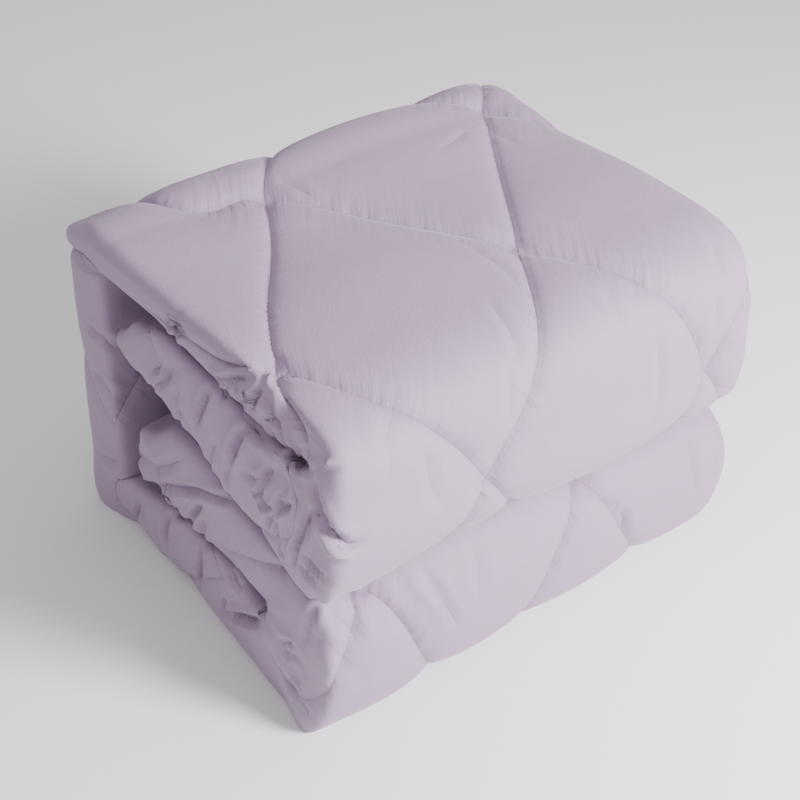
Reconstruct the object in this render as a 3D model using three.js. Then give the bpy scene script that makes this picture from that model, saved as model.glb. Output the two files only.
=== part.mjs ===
// Folded quilt: one thick, diamond-quilted quilt, folded to a block for the shelf.
//
// The quilt is folded to a long flat band. Both ends of the band are turned in to the middle,
// and the band is then closed like a book. Seen from its left end the block is a letter C:
// a bottom layer, a spine at the back and a top layer, with a big soft fold at the front of
// each half and an inner layer that runs back from that fold to a thin tip near the spine.
//
// Millimetres, +Z up. X runs along the front folds, -Y is the front with the two folds, and
// the origin is on the floor under the middle of the block.

import * as THREE from 'three';

// Driving dimensions
const BLOCK_LENGTH = 590;        // along the folds: a quarter of a 2300 mm quilt and its soft ends
const END_ROUND = 30;            // how far the soft left and right ends are rounded
const END_SQUARENESS = 2.6;      // 2 is a true ellipse, more is boxier
const HIDDEN_STEP = 42;          // spacing of cross-sections on the two inner layers
const END_STEPS = 6;             // facets round one soft end
const END_WRAP = 0.8;            // length of cloth round an end, as a share of its size
const INNER_STEPS = 7;           // facets across the inside of a layer

// Diamond quilting: knots stand in rows, every second row is shifted by half a pitch, and a
// seam joins each knot to its two neighbours in the next row.
const KNOT_PITCH = 316;          // between knots of one row, along X
const EVEN_ROW_KNOT = -250;      // X of one knot of an even row
const SEAM_DEPTH = 8;            // how far a seam is drawn in
const SEAM_SPREAD = 20;          // distance over which the padding swells up again
const KNOT_DEPTH = 4;            // extra dimple where seams cross
const KNOT_SPREAD = 26;
const MOST_DRAWN = 0.7;          // a seam never takes more than this share of the thickness
const SEAM_STEPS = 8;            // facets along a seam from knot to knot
const KNOTS_EACH_WAY = 3;        // knots laid out to either side, past both ends

// Knot rows, by the distance along the outer face from the row near the front of the top
const KNOT_ROWS = [
  { name: 'under the upper half', along: -520, even: true },
  { name: 'front of the upper fold', along: -262, even: false },
  { name: 'front of the top', along: 0, even: true },
  { name: 'back of the top', along: 245, even: false },
  { name: 'high on the spine', along: 448, even: true },
  { name: 'low on the spine', along: 651, even: false },
  { name: 'back of the underside', along: 854, even: true },
  { name: 'front of the underside', along: 1057, even: false },
  { name: 'top of the lower fold', along: 1370, even: true },
  { name: 'on the lower inner layer', along: 1600, even: false },
];

// The centre line of the folded band, from the tip of the upper inner layer to the tip of the
// lower one. y and z place it, heading is its direction in degrees (0 is towards the back and
// 90 is up), outer and inner are the thickness to either side, and left and right say how far
// the soft ends stop short of the block's length.
const SECTIONS = [
  { name: 'upper tip', y: 148, z: 282, heading: 190, outer: 7, inner: 7, left: 4, right: 22 },
  { name: 'upper tip swells', y: 118, z: 279, heading: 189, outer: 27, inner: 22, left: 4, right: 16 },
  { name: 'upper inner, back', y: 40, z: 267, heading: 190, outer: 46, inner: 38, left: 5, right: 12 },
  { name: 'upper inner, middle', y: -45, z: 252, heading: 187, outer: 52, inner: 46, left: 6, right: 10 },
  { name: 'upper fold, underside', y: -132, z: 244, heading: 180, outer: 54, inner: 49, left: 2, right: 8 },
  { name: 'upper fold, low', y: -171, z: 260, heading: 136, outer: 84, inner: 46, left: -1, right: 6 },
  { name: 'upper fold, nose', y: -187, z: 297, heading: 90, outer: 53, inner: 42, left: 8, right: 2 },
  { name: 'upper fold, high', y: -172, z: 334, heading: 45, outer: 66, inner: 46, left: 15, right: 0 },
  { name: 'top, front', y: -135, z: 350, heading: 0, outer: 54, inner: 49, left: 12, right: 1 },
  { name: 'top, middle', y: -40, z: 350, heading: 0, outer: 56, inner: 48, left: 10, right: 3 },
  { name: 'top, back', y: 55, z: 354, heading: 1, outer: 50, inner: 41, left: 6, right: 5 },
  { name: 'top, rear', y: 150, z: 359, heading: 0, outer: 50, inner: 33, left: 2, right: 8 },
  { name: 'upper corner', y: 193, z: 347, heading: -45, outer: 66, inner: 31, left: 1, right: 8 },
  { name: 'spine, high', y: 204, z: 318, heading: -90, outer: 38, inner: 30, left: -4, right: 10 },
  { name: 'spine, middle', y: 207, z: 200, heading: -90, outer: 38, inner: 30, left: -5, right: 12 },
  { name: 'spine, low', y: 204, z: 80, heading: -90, outer: 38, inner: 31, left: -4, right: 10 },
  { name: 'lower corner', y: 193, z: 53, heading: -135, outer: 61, inner: 31, left: -3, right: 9 },
  { name: 'underside, rear', y: 158, z: 41, heading: -180, outer: 43, inner: 34, left: 3, right: 9 },
  { name: 'underside, back', y: 50, z: 46, heading: -180, outer: 48, inner: 47, left: 3, right: 9 },
  { name: 'underside, middle', y: -45, z: 49, heading: -180, outer: 51, inner: 46, left: 3, right: 9 },
  { name: 'underside, front', y: -148, z: 48, heading: -180, outer: 50, inner: 42, left: -1, right: 15 },
  { name: 'lower fold, low', y: -179, z: 61, heading: -225, outer: 68, inner: 38, left: -5, right: 13 },
  { name: 'lower fold, nose', y: -193, z: 93, heading: -270, outer: 48, inner: 35, left: 0, right: -2 },
  { name: 'lower fold, high', y: -180, z: 125, heading: -315, outer: 53, inner: 38, left: 5, right: 2 },
  { name: 'lower fold, top', y: -148, z: 138, heading: -360, outer: 40, inner: 42, left: 9, right: 12 },
  { name: 'lower inner, middle', y: -55, z: 145, heading: -355, outer: 48, inner: 48, left: 8, right: 14 },
  { name: 'lower inner, back', y: 25, z: 157, heading: -354, outer: 53, inner: 60, left: 4, right: 14 },
  { name: 'lower inner, rear', y: 85, z: 150, heading: -372, outer: 53, inner: 54, left: 2, right: 16 },
  { name: 'lower tip swells', y: 128, z: 122, heading: -390, outer: 25, inner: 26, left: 2, right: 18 },
  { name: 'lower tip', y: 150, z: 111, heading: -388, outer: 7, inner: 7, left: 4, right: 22 },
];

const FINE_STEPS = 24;                          // steps from row to row when lengths are measured
const ZERO_ALONG_Y = -87;                       // Y on the top where distances along the band start
const FACES_UP = 0.9;                           // how upright the outer face stands on the top
const UNDERSIDE = { front: -222, back: 228 };   // the part of the floor side that is pressed flat
const PRESS = 4;                                // how deep the floor presses it

// The parting between the two halves is higher at the left end than at the right
const PARTING_RISE = 14;
const PARTING_HEIGHT = 190;
const BLOCK_TOP = 403;

const RAD = Math.PI / 180;
const lerp = (a, b, t) => a + (b - a) * t;
const smooth = (t) => t * t * (3 - 2 * t);
const clamp = (value, low, high) => Math.min(high, Math.max(low, value));

// One point of the band between two neighbouring rows of SECTIONS, on a curve that keeps both
// headings. The handle length is the one that makes a quarter or an eighth turn a true arc.
function bandPoint(from, to, t) {
  const turn = Math.abs(to.heading - from.heading) * RAD;
  const chord = Math.hypot(to.y - from.y, to.z - from.z);
  const handle = turn < 0.01 ? chord / 3 : chord * (2 / 3) * Math.tan(turn / 4) / Math.sin(turn / 2);
  const a = new THREE.Vector2(from.y, from.z);
  const b = a.clone().add(direction(from.heading).multiplyScalar(handle));
  const d = new THREE.Vector2(to.y, to.z);
  const c = d.clone().sub(direction(to.heading).multiplyScalar(handle));
  const curve = new THREE.CubicBezierCurve(a, b, c, d);
  const point = curve.getPoint(t);
  const tangent = curve.getTangent(t);
  const e = smooth(t);
  return {
    y: point.x,
    z: point.y,
    outY: -tangent.y,
    outZ: tangent.x,
    outer: lerp(from.outer, to.outer, e),
    inner: lerp(from.inner, to.inner, e),
    left: lerp(from.left, to.left, e),
    right: lerp(from.right, to.right, e),
  };
}

function direction(heading) {
  return new THREE.Vector2(Math.cos(heading * RAD), Math.sin(heading * RAD));
}

// The band as many close stations, each with its distance along the outer face
function fineBand() {
  const band = [];
  for (let i = 0; i + 1 < SECTIONS.length; i += 1) {
    for (let k = 0; k < FINE_STEPS; k += 1) {
      band.push(bandPoint(SECTIONS[i], SECTIONS[i + 1], k / FINE_STEPS));
    }
  }
  band.push(bandPoint(SECTIONS.at(-2), SECTIONS.at(-1), 1));
  let along = 0;
  let previous = null;
  for (const station of band) {
    const y = station.y + station.outY * station.outer;
    const z = station.z + station.outZ * station.outer;
    if (previous) along += Math.hypot(y - previous.y, z - previous.z);
    station.along = along;
    previous = { y, z };
  }
  const onTop = (s) => s.z > PARTING_HEIGHT && s.outZ > FACES_UP;
  const zero = band.find((s) => onTop(s) && s.y >= ZERO_ALONG_Y).along;
  for (const station of band) station.along -= zero;
  return band;
}

function stationAt(band, along) {
  let i = band.findIndex((s) => s.along >= along);
  if (i < 0) i = band.length - 1;
  if (i === 0) return band[0];
  const a = band[i - 1];
  const b = band[i];
  const t = (along - a.along) / (b.along - a.along);
  const mixed = {};
  for (const key of Object.keys(a)) mixed[key] = lerp(a[key], b[key], t);
  return mixed;
}

// Distances along the outer face at which cross-sections are cut. Between two rows of knots
// there are as many as across half a pitch, so every seam runs through corners of facets.
function stationDistances(band) {
  const first = band[0].along;
  const last = band.at(-1).along;
  const marks = [first, ...KNOT_ROWS.map((row) => row.along), last]
    .filter((along) => along >= first && along <= last);
  const distances = [];
  for (let i = 0; i + 1 < marks.length; i += 1) {
    const span = marks[i + 1] - marks[i];
    const hidden = i === 0 || i + 2 === marks.length;
    const count = hidden ? Math.ceil(span / HIDDEN_STEP) : SEAM_STEPS;
    for (let k = 0; k < count; k += 1) distances.push(marks[i] + (span * k) / count);
  }
  distances.push(last);
  return distances;
}

// Seams as straight runs in the flat cloth: across is along X, along is down the band
function seamRuns() {
  const runs = [];
  const knots = [];
  const half = KNOT_PITCH / 2;
  for (let i = 0; i < KNOT_ROWS.length; i += 1) {
    const row = KNOT_ROWS[i];
    const shift = row.even ? 0 : half;
    for (let k = -KNOTS_EACH_WAY; k <= KNOTS_EACH_WAY; k += 1) {
      const across = EVEN_ROW_KNOT + shift + k * KNOT_PITCH;
      knots.push({ across, along: row.along });
      const next = KNOT_ROWS[i + 1];
      if (!next) continue;
      runs.push({ a: [across, row.along], b: [across - half, next.along] });
      runs.push({ a: [across, row.along], b: [across + half, next.along] });
    }
  }
  return { runs, knots };
}

const { runs: SEAMS, knots: KNOTS } = seamRuns();

function distanceToRun(across, along, { a, b }) {
  const dx = b[0] - a[0];
  const dy = b[1] - a[1];
  const t = clamp(((across - a[0]) * dx + (along - a[1]) * dy) / (dx * dx + dy * dy), 0, 1);
  return Math.hypot(across - a[0] - dx * t, along - a[1] - dy * t);
}

// How far the cloth is drawn in at one place by the seams and knots near it
function drawnIn(across, along) {
  const seam = Math.min(...SEAMS.map((run) => distanceToRun(across, along, run)));
  const knot = Math.min(...KNOTS.map((k) => Math.hypot(across - k.across, along - k.along)));
  const dimple = KNOT_DEPTH * Math.exp(-((knot / KNOT_SPREAD) ** 2));
  return SEAM_DEPTH * Math.exp(-seam / SEAM_SPREAD) + dimple;
}

// The closed outline of one cross-section, in X and thickness. It starts at the left of the
// outer face and goes round by the right end, the inner face and the left end. fade says how
// much of the quilting shows: all on the outer face, none on the hidden inner one.
function outline(station) {
  const left = -BLOCK_LENGTH / 2 + station.left + END_ROUND;
  const right = BLOCK_LENGTH / 2 - station.right - END_ROUND;
  const points = [];
  const step = KNOT_PITCH / 2 / SEAM_STEPS;
  const lastColumn = BLOCK_LENGTH / 2 - END_ROUND - 2 * step;
  points.push({ x: left, n: station.outer, across: left, fade: 1 });
  for (let x = EVEN_ROW_KNOT + step; x < lastColumn; x += step) {
    points.push({ x, n: station.outer, across: x, fade: 1 });
  }
  points.push({ x: right, n: station.outer, across: right, fade: 1 });
  endPoints(points, right, 1, station);
  points.push({ x: right, n: -station.inner, across: right, fade: 0 });
  for (let k = 1; k < INNER_STEPS; k += 1) {
    points.push({ x: lerp(right, left, k / INNER_STEPS), n: -station.inner, across: 0, fade: 0 });
  }
  points.push({ x: left, n: -station.inner, across: left, fade: 0 });
  endPoints(points, left, -1, station);
  return points;
}

// The soft end, from the outer to the inner face on the right, and back again on the left
function endPoints(points, x, side, station) {
  for (let k = 1; k < END_STEPS; k += 1) {
    const turn = side > 0 ? k / END_STEPS : 1 - k / END_STEPS;
    const angle = turn * Math.PI;
    const power = 2 / END_SQUARENESS;
    const c = Math.cos(angle);
    const depth = c > 0 ? station.outer : station.inner;
    const n = Math.sign(c) * Math.abs(c) ** power * depth;
    const reach = Math.sin(angle) ** power * END_ROUND;
    const around = turn * (station.outer + station.inner + END_ROUND) * END_WRAP;
    points.push({ x: x + side * reach, n, across: x + side * around, fade: 1 - turn * turn });
  }
}

// Small shifts of the whole block that keep its folds from being ruler-straight
function settle(point) {
  const below = clamp(point.z / PARTING_HEIGHT, 0, 1);
  const above = clamp((BLOCK_TOP - point.z) / (BLOCK_TOP - PARTING_HEIGHT), 0, 1);
  const share = smooth(Math.min(below, above));
  point.z -= (PARTING_RISE * share * point.x) / (BLOCK_LENGTH / 2);
  return point;
}

function placeOnBand(station, p) {
  const pull = p.fade * drawnIn(p.across, station.along);
  const n = p.n - Math.sign(p.n) * Math.min(pull, Math.abs(p.n) * MOST_DRAWN);
  const point = settle(new THREE.Vector3(
    p.x,
    station.y + station.outY * n,
    station.z + station.outZ * n,
  ));
  const pressed = point.y > UNDERSIDE.front && point.y < UNDERSIDE.back;
  if (point.z < 0 || (pressed && point.z < PRESS)) point.z = 0;
  return point;
}

// The skin: neighbouring outlines are joined by facets whose diagonal follows the seams, and
// both tips are closed with a flat narrow face.
function foldedBand() {
  const band = fineBand();
  const stations = stationDistances(band).map((along) => stationAt(band, along));
  const rings = stations.map(outline);
  const size = rings[0].length;
  const positions = [];
  rings.forEach((ring, i) => {
    for (const p of ring) positions.push(...placeOnBand(stations[i], p).toArray());
  });
  const faces = [];
  for (let i = 0; i + 1 < rings.length; i += 1) {
    for (let j = 0; j < size; j += 1) {
      const k = (j + 1) % size;
      const a = i * size + j;
      const b = i * size + k;
      const c = a + size;
      const d = b + size;
      if (seamRises(rings[i][j], rings[i][k], stations[i], stations[i + 1])) {
        faces.push(a, b, d, a, d, c);
      } else {
        faces.push(a, b, c, b, d, c);
      }
    }
  }
  closeTip(faces, rings[0], 0, false);
  closeTip(faces, rings.at(-1), (rings.length - 1) * size, true);
  const geometry = new THREE.BufferGeometry();
  geometry.setAttribute('position', new THREE.Float32BufferAttribute(positions, 3));
  geometry.setIndex(faces);
  geometry.computeBoundingBox();
  const middle = geometry.boundingBox.getCenter(new THREE.Vector3());
  geometry.translate(-middle.x, -middle.y, 0);
  geometry.computeVertexNormals();
  return geometry;
}

// Whether the cloth is drawn in more along one diagonal of a facet than along the other
function seamRises(p, q, near, far) {
  const across = (p.across + q.across) / 2;
  const along = (near.along + far.along) / 2;
  const stepX = (q.across - p.across) / 4;
  const stepY = (far.along - near.along) / 4;
  const rising = drawnIn(across + stepX, along + stepY) + drawnIn(across - stepX, along - stepY);
  const falling = drawnIn(across + stepX, along - stepY) + drawnIn(across - stepX, along + stepY);
  return rising > falling;
}

function closeTip(faces, ring, offset, last) {
  const flat = ring.map((p) => new THREE.Vector2(p.x, p.n));
  for (const [a, b, c] of THREE.ShapeUtils.triangulateShape(flat, [])) {
    if (last) faces.push(offset + a, offset + c, offset + b);
    else faces.push(offset + a, offset + b, offset + c);
  }
}

const cotton = new THREE.MeshStandardMaterial({ color: 0xc3b5c4, roughness: 0.85, metalness: 0 });
const quilt = new THREE.Mesh(foldedBand(), cotton);
quilt.name = 'quilt';

const part = new THREE.Group();
part.add(quilt);

export default part;
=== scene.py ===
# %% [markdown]
# # A thick quilt, folded for the shelf
# The real quilt is a flat bag of smooth cotton filled with wadding. Sewing in big diamonds
# holds the wadding in place. To put it away it is folded to a long band, both ends of the band
# are turned in, and the band is closed like a book. A simulation could let a flat cloth fall
# and fold, but where it comes to rest is hard to steer. So this lesson shapes the folded band
# directly, as one closed padded skin, and then presses in its seams and creases.

# %% Load the fixed frame
import math

import bpy
import numpy as np
from mathutils import Matrix, Vector


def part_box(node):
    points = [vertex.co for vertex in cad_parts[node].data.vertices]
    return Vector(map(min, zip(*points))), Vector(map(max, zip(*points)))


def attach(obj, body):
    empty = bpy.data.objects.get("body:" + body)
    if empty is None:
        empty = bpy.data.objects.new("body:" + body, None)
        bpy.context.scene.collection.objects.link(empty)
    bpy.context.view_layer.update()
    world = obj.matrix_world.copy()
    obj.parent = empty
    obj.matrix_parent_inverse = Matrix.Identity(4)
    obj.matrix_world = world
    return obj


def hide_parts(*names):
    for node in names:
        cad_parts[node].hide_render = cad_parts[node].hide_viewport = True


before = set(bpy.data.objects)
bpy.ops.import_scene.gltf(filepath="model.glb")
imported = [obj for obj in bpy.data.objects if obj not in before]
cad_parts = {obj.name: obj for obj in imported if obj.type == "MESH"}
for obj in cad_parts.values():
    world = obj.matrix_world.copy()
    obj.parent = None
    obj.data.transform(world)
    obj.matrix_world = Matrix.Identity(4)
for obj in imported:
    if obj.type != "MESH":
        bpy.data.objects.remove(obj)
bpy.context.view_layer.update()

MM = 0.001
quilt_low, quilt_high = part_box("quilt")
print("the plain solid is", [round(size, 3) for size in Vector(quilt_high) - Vector(quilt_low)])

# %% [markdown]
# ## The camera
# The camera stands where the photographer stood: in front, to the left, and well above the
# quilt, looking down over its top. A lens a little longer than normal keeps the folds from
# spreading out towards the viewer. The camera could be moved by hand until the view looks right.
# Numbers that put the corners of the block in their places give the same view on every run.

# %% Stand the camera at the viewing angle
CAMERA_PLACE = (-0.8530, -1.0502, 1.2683)
CAMERA_YAW = 38.541        # turned to the right of straight ahead, degrees
CAMERA_PITCH = 39.146      # looking down, degrees
CAMERA_ROLL = 1.648
LENS = 67.55               # millimetres on a 36 mm sensor


def camera_matrix(place, yaw, pitch, roll):
    """Where the camera stands and how it is turned, from three angles in degrees."""
    yaw, pitch, roll = (math.radians(angle) for angle in (yaw, pitch, roll))
    ahead = Vector((
        math.sin(yaw) * math.cos(pitch), math.cos(yaw) * math.cos(pitch), -math.sin(pitch)))
    right = Vector((math.cos(yaw), -math.sin(yaw), 0))
    up = right.cross(ahead)
    across = math.cos(roll) * right + math.sin(roll) * up
    upright = -math.sin(roll) * right + math.cos(roll) * up
    turn = Matrix((across, upright, -ahead)).transposed().to_4x4()
    return Matrix.Translation(place) @ turn


camera_data = bpy.data.cameras.new("photo_camera")
camera_data.lens = LENS
camera = bpy.data.objects.new("photo_camera", camera_data)
bpy.context.scene.collection.objects.link(camera)
camera.matrix_world = camera_matrix(CAMERA_PLACE, CAMERA_YAW, CAMERA_PITCH, CAMERA_ROLL)
bpy.context.scene.camera = camera
print("camera at", tuple(round(value, 3) for value in camera.location))

# %% [markdown]
# ## The folded band, seen from its end
# Seen from its end, the folded quilt is one long band. Each row below is one place on its middle
# line, from the tip of the upper inner layer, round the upper front fold, over the top, down the
# spine, along the floor and round the lower front fold to the tip of the lower inner layer. The
# band could be extruded edge by edge. A table is easier to change, and a curve that keeps the
# heading of every row gives smooth folds from very few of them.

# %% Rows of the folded band
SECTIONS = {   # y, z, heading, thickness outwards and inwards, left and right end drawn in
    "upper tip":              (148, 282, 190, 7, 7, 4, 22),
    "upper tip swells":       (118, 279, 189, 27, 22, 4, 16),
    "upper inner, back":      (40, 267, 190, 46, 38, 5, 12),
    "upper inner, middle":    (-45, 252, 187, 52, 46, 6, 10),
    "upper fold, underside":  (-132, 244, 180, 54, 49, 2, 8),
    "upper fold, low":        (-171, 260, 136, 84, 46, -1, 6),
    "upper fold, nose":       (-187, 297, 90, 53, 42, 8, 2),
    "upper fold, high":       (-172, 334, 45, 66, 46, 15, 0),
    "top, front":             (-135, 350, 0, 54, 49, 12, 1),
    "top, middle":            (-40, 350, 0, 56, 48, 10, 3),
    "top, back":              (55, 354, 1, 50, 41, 6, 5),
    "top, rear":              (150, 359, 0, 50, 33, 2, 8),
    "upper corner":           (193, 347, -45, 66, 31, 1, 8),
    "spine, high":            (204, 318, -90, 38, 30, -4, 10),
    "spine, middle":          (207, 200, -90, 38, 30, -5, 12),
    "spine, low":             (204, 80, -90, 38, 31, -4, 10),
    "lower corner":           (193, 53, -135, 61, 31, -3, 9),
    "underside, rear":        (158, 41, -180, 43, 34, 3, 9),
    "underside, back":        (50, 46, -180, 48, 47, 3, 9),
    "underside, middle":      (-45, 49, -180, 51, 46, 3, 9),
    "underside, front":       (-148, 48, -180, 50, 42, -1, 15),
    "lower fold, low":        (-179, 61, -225, 68, 38, -5, 13),
    "lower fold, nose":       (-193, 93, -270, 48, 35, 0, -2),
    "lower fold, high":       (-180, 125, -315, 53, 38, 5, 2),
    "lower fold, top":        (-148, 138, -360, 40, 42, 9, 12),
    "lower inner, middle":    (-55, 145, -355, 48, 48, 8, 14),
    "lower inner, back":      (25, 157, -354, 53, 60, 4, 14),
    "lower inner, rear":      (85, 150, -372, 53, 54, 2, 16),
    "lower tip swells":       (128, 122, -390, 25, 26, 2, 18),
    "lower tip":              (150, 111, -388, 7, 7, 4, 22),
}
rows = np.array(list(SECTIONS.values()), float)
print(len(rows), "rows in millimetres and degrees, the highest", rows[:, 1].max(), "mm up")

# %% Run a smooth curve through the rows
FINE_STEPS = 24            # steps from row to row when lengths are measured
STRAIGHT = 0.01            # a turn below this, in radians, counts as none
ZERO_ALONG_Y = -87         # distances along the band start here, on the top
UPPER_HALF = 190           # height above which the band is in the upper half
FACING_UP = 0.9            # least upward part of a direction that faces up
ALONG = 8                  # column of the band that holds the distance along it


def smooth(t):
    """Eases from 0 to 1 without a corner at either end."""
    t = np.clip(t, 0, 1)
    return t * t * (3 - 2 * t)


def heading_vector(degrees):
    """A step of length 1 that way, in Y and Z."""
    angle = np.radians(degrees)
    return np.array([np.cos(angle), np.sin(angle)])


def curve_between(start, end, t):
    """Points and directions of the middle line from one row to the next."""
    turn = abs(math.radians(end[2] - start[2]))
    chord = math.hypot(end[0] - start[0], end[1] - start[1])
    handle = chord / 3
    if turn >= STRAIGHT:
        handle = chord * 2 / 3 * math.tan(turn / 4) / math.sin(turn / 2)
    a, d = start[:2], end[:2]
    b = a + heading_vector(start[2]) * handle
    c = d - heading_vector(end[2]) * handle
    s, t = 1 - t[:, None], t[:, None]
    place = s**3 * a + 3 * s * s * t * b + 3 * s * t * t * c + t**3 * d
    way = 3 * s * s * (b - a) + 6 * s * t * (c - b) + 3 * t * t * (d - c)
    return place, way / np.linalg.norm(way, axis=1, keepdims=True)


def fine_band():
    """The band as close stations: y, z, outward y and z, outer, inner, left, right, along."""
    parts = []
    for index in range(len(rows) - 1):
        last = index == len(rows) - 2
        t = np.linspace(0, 1, FINE_STEPS + 1) if last else np.arange(FINE_STEPS) / FINE_STEPS
        place, way = curve_between(rows[index], rows[index + 1], t)
        ease = smooth(t)[:, None]
        sizes = rows[index, 3:] * (1 - ease) + rows[index + 1, 3:] * ease
        parts.append(np.column_stack([place, -way[:, 1], way[:, 0], sizes]))
    band = np.vstack(parts)
    skin = band[:, :2] + band[:, 2:4] * band[:, 4:5]
    steps = np.linalg.norm(np.diff(skin, axis=0), axis=1)
    along = np.concatenate([[0], np.cumsum(steps)])
    on_top = (band[:, 1] > UPPER_HALF) & (band[:, 3] > FACING_UP) & (band[:, 0] >= ZERO_ALONG_Y)
    return np.column_stack([band, along - along[np.argmax(on_top)]])


band = fine_band()
print("the band is", round(np.ptp(band[:, ALONG])), "mm long on its outer face")

# %% [markdown]
# ## Knots and seams
# The diamonds are sewn as two families of slanting seams. Where they cross, a knot draws the
# cloth in most. The seams could be cut into the mesh one by one. Counting the rows of knots along
# the band, and half pitches across it, makes every seam a straight line at 45 degrees instead, so
# its distance is easy to work out anywhere.

# %% Rows of knots
KNOT_PITCH = 316           # millimetres between the knots of one row
EVEN_ROW_KNOT = -250       # where one knot of an even row lies along X
KNOT_ROWS = {              # distance along the band of each row of knots
    "under the upper half": -520,
    "front of the upper fold": -262,
    "front of the top": 0,
    "back of the top": 245,
    "high on the spine": 448,
    "low on the spine": 651,
    "back of the underside": 854,
    "front of the underside": 1057,
    "top of the lower fold": 1370,
    "on the lower inner layer": 1600,
}
knot_along = np.array(list(KNOT_ROWS.values()), float)
print("rows of knots are", knot_along[1:] - knot_along[:-1], "mm apart")


def row_count(along):
    """How many rows of knots lie before a place on the band, with fractions between rows."""
    index = np.arange(len(knot_along), dtype=float)
    inside = np.interp(along, knot_along, index)
    before = (along - knot_along[0]) / (knot_along[1] - knot_along[0])
    after = index[-1] + (along - knot_along[-1]) / (knot_along[-1] - knot_along[-2])
    return np.where(along < knot_along[0], before, np.where(along > knot_along[-1], after, inside))


def pitch_count(across):
    """How many half pitches a place lies to the right of the first knot."""
    return (across - EVEN_ROW_KNOT) / (KNOT_PITCH / 2)


def fold_to_line(value):
    """Distance of a count from the nearest even number."""
    return np.abs((value + 1) % 2 - 1)

# %% [markdown]
# ## Where the sewing wanders
# Sewn rows are never quite even, and folding pulls them further out of line. Each row of this
# table is a soft patch in which the pattern has slid along the cloth. The seams could be bent in
# the relief alone, but then they cross the rows of points at a slant and come out jagged. Sliding
# the points themselves keeps every seam on a line of points.

# %% Slide the pattern along the cloth
PATTERN_DRIFTS = (         # X, row, reach in X and in rows, slide in half pitches and in rows
    (-235, 1.75, 110, 0.7, 0, 0.11),
    (-300, 2.2, 45, 0.35, 0, 0.27),
    (-262, 1.95, 45, 0.3, 0, -0.06),
    (-180, 2.5, 110, 0.9, 0.09, 0),
    (-185, 3.15, 60, 0.55, 0, 0.5),
    (-230, 7.6, 90, 0.8, -0.16, 0),
)
DRIFT_ROUNDS = 20          # steps of guessing that find where a point of the pattern lies
print(len(PATTERN_DRIFTS), "patches slide the pattern, by up to",
      max(abs(patch[5]) for patch in PATTERN_DRIFTS), "of a row")


def pattern_places(pitch, row, drifting):
    """Where each point of the sewn pattern lies on the cloth, counted in the same two counts."""
    at_pitch, at_row = pitch.copy(), row.copy()
    for _ in range(DRIFT_ROUNDS):
        across = at_pitch * KNOT_PITCH / 2 + EVEN_ROW_KNOT
        by_pitch, by_row = 0 * pitch, 0 * row
        for at_x, middle, wide, long, pitch_drift, row_drift in PATTERN_DRIFTS:
            near = np.exp(-(((across - at_x) / wide) ** 2) - ((at_row - middle) / long) ** 2)
            by_pitch += near * pitch_drift * drifting
            by_row += near * row_drift
        at_pitch, at_row = pitch - by_pitch, row - by_row
    return at_pitch, at_row

# %% [markdown]
# ## The skin of the band
# Every station gets a closed outline: the outer face, the soft right end, the inner face and
# the soft left end. Joined from station to station, the outlines make one closed skin, as the
# two cloths of the real cover do. A box with many cuts could be bent to the same shape, but its
# cuts would miss the seams. Here stations and columns fall on the knots, so every seam runs
# through points.

# %% Outlines of the stations
BLOCK_LENGTH = 590
END_ROUND = {"left": 13, "right": 30}       # how far a soft end rounds off
END_SQUARENESS = 2.6       # 2 is a half circle, more is squarer
END_REACH = {"outer": 52, "inner": 112}     # where a soft end starts, from the block's end
PROFILE_STEPS = 40
CLEARANCE = 1              # kept free between the columns of the face and a soft end
COLUMN_RANGE = (-400, 800)                  # more columns than the face can hold
GRID = {"per_knot": 72, "face": 36, "left": 44, "right": 18, "inner": 22}
print("one soft end starts", END_REACH["outer"], "mm in and has", GRID["left"], "steps")


def end_profile(outer, inner, shift, rounding):
    """Soft end of one station, from the outer face round to the inner face: reach and offset."""
    power = 2 / END_SQUARENESS
    turn = np.linspace(0, np.pi, PROFILE_STEPS)
    cosine, sine = np.cos(turn), np.clip(np.sin(turn), 0, 1)
    n = np.sign(cosine) * np.abs(cosine) ** power * np.where(cosine > 0, outer, inner)
    reach = rounding - sine**power * rounding + shift
    reach = np.concatenate([[END_REACH["outer"]], reach, [END_REACH["inner"]]])
    return reach, np.concatenate([[outer], n, [-inner]])


def spread_evenly(reach, n, count):
    """The same profile in equal steps of its length; also the length from the outer face."""
    length = np.concatenate([[0], np.cumsum(np.hypot(np.diff(reach), np.diff(n)))])
    even = np.linspace(0, length[-1], count + 1)
    return np.interp(even, length, reach), np.interp(even, length, n), even


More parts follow.
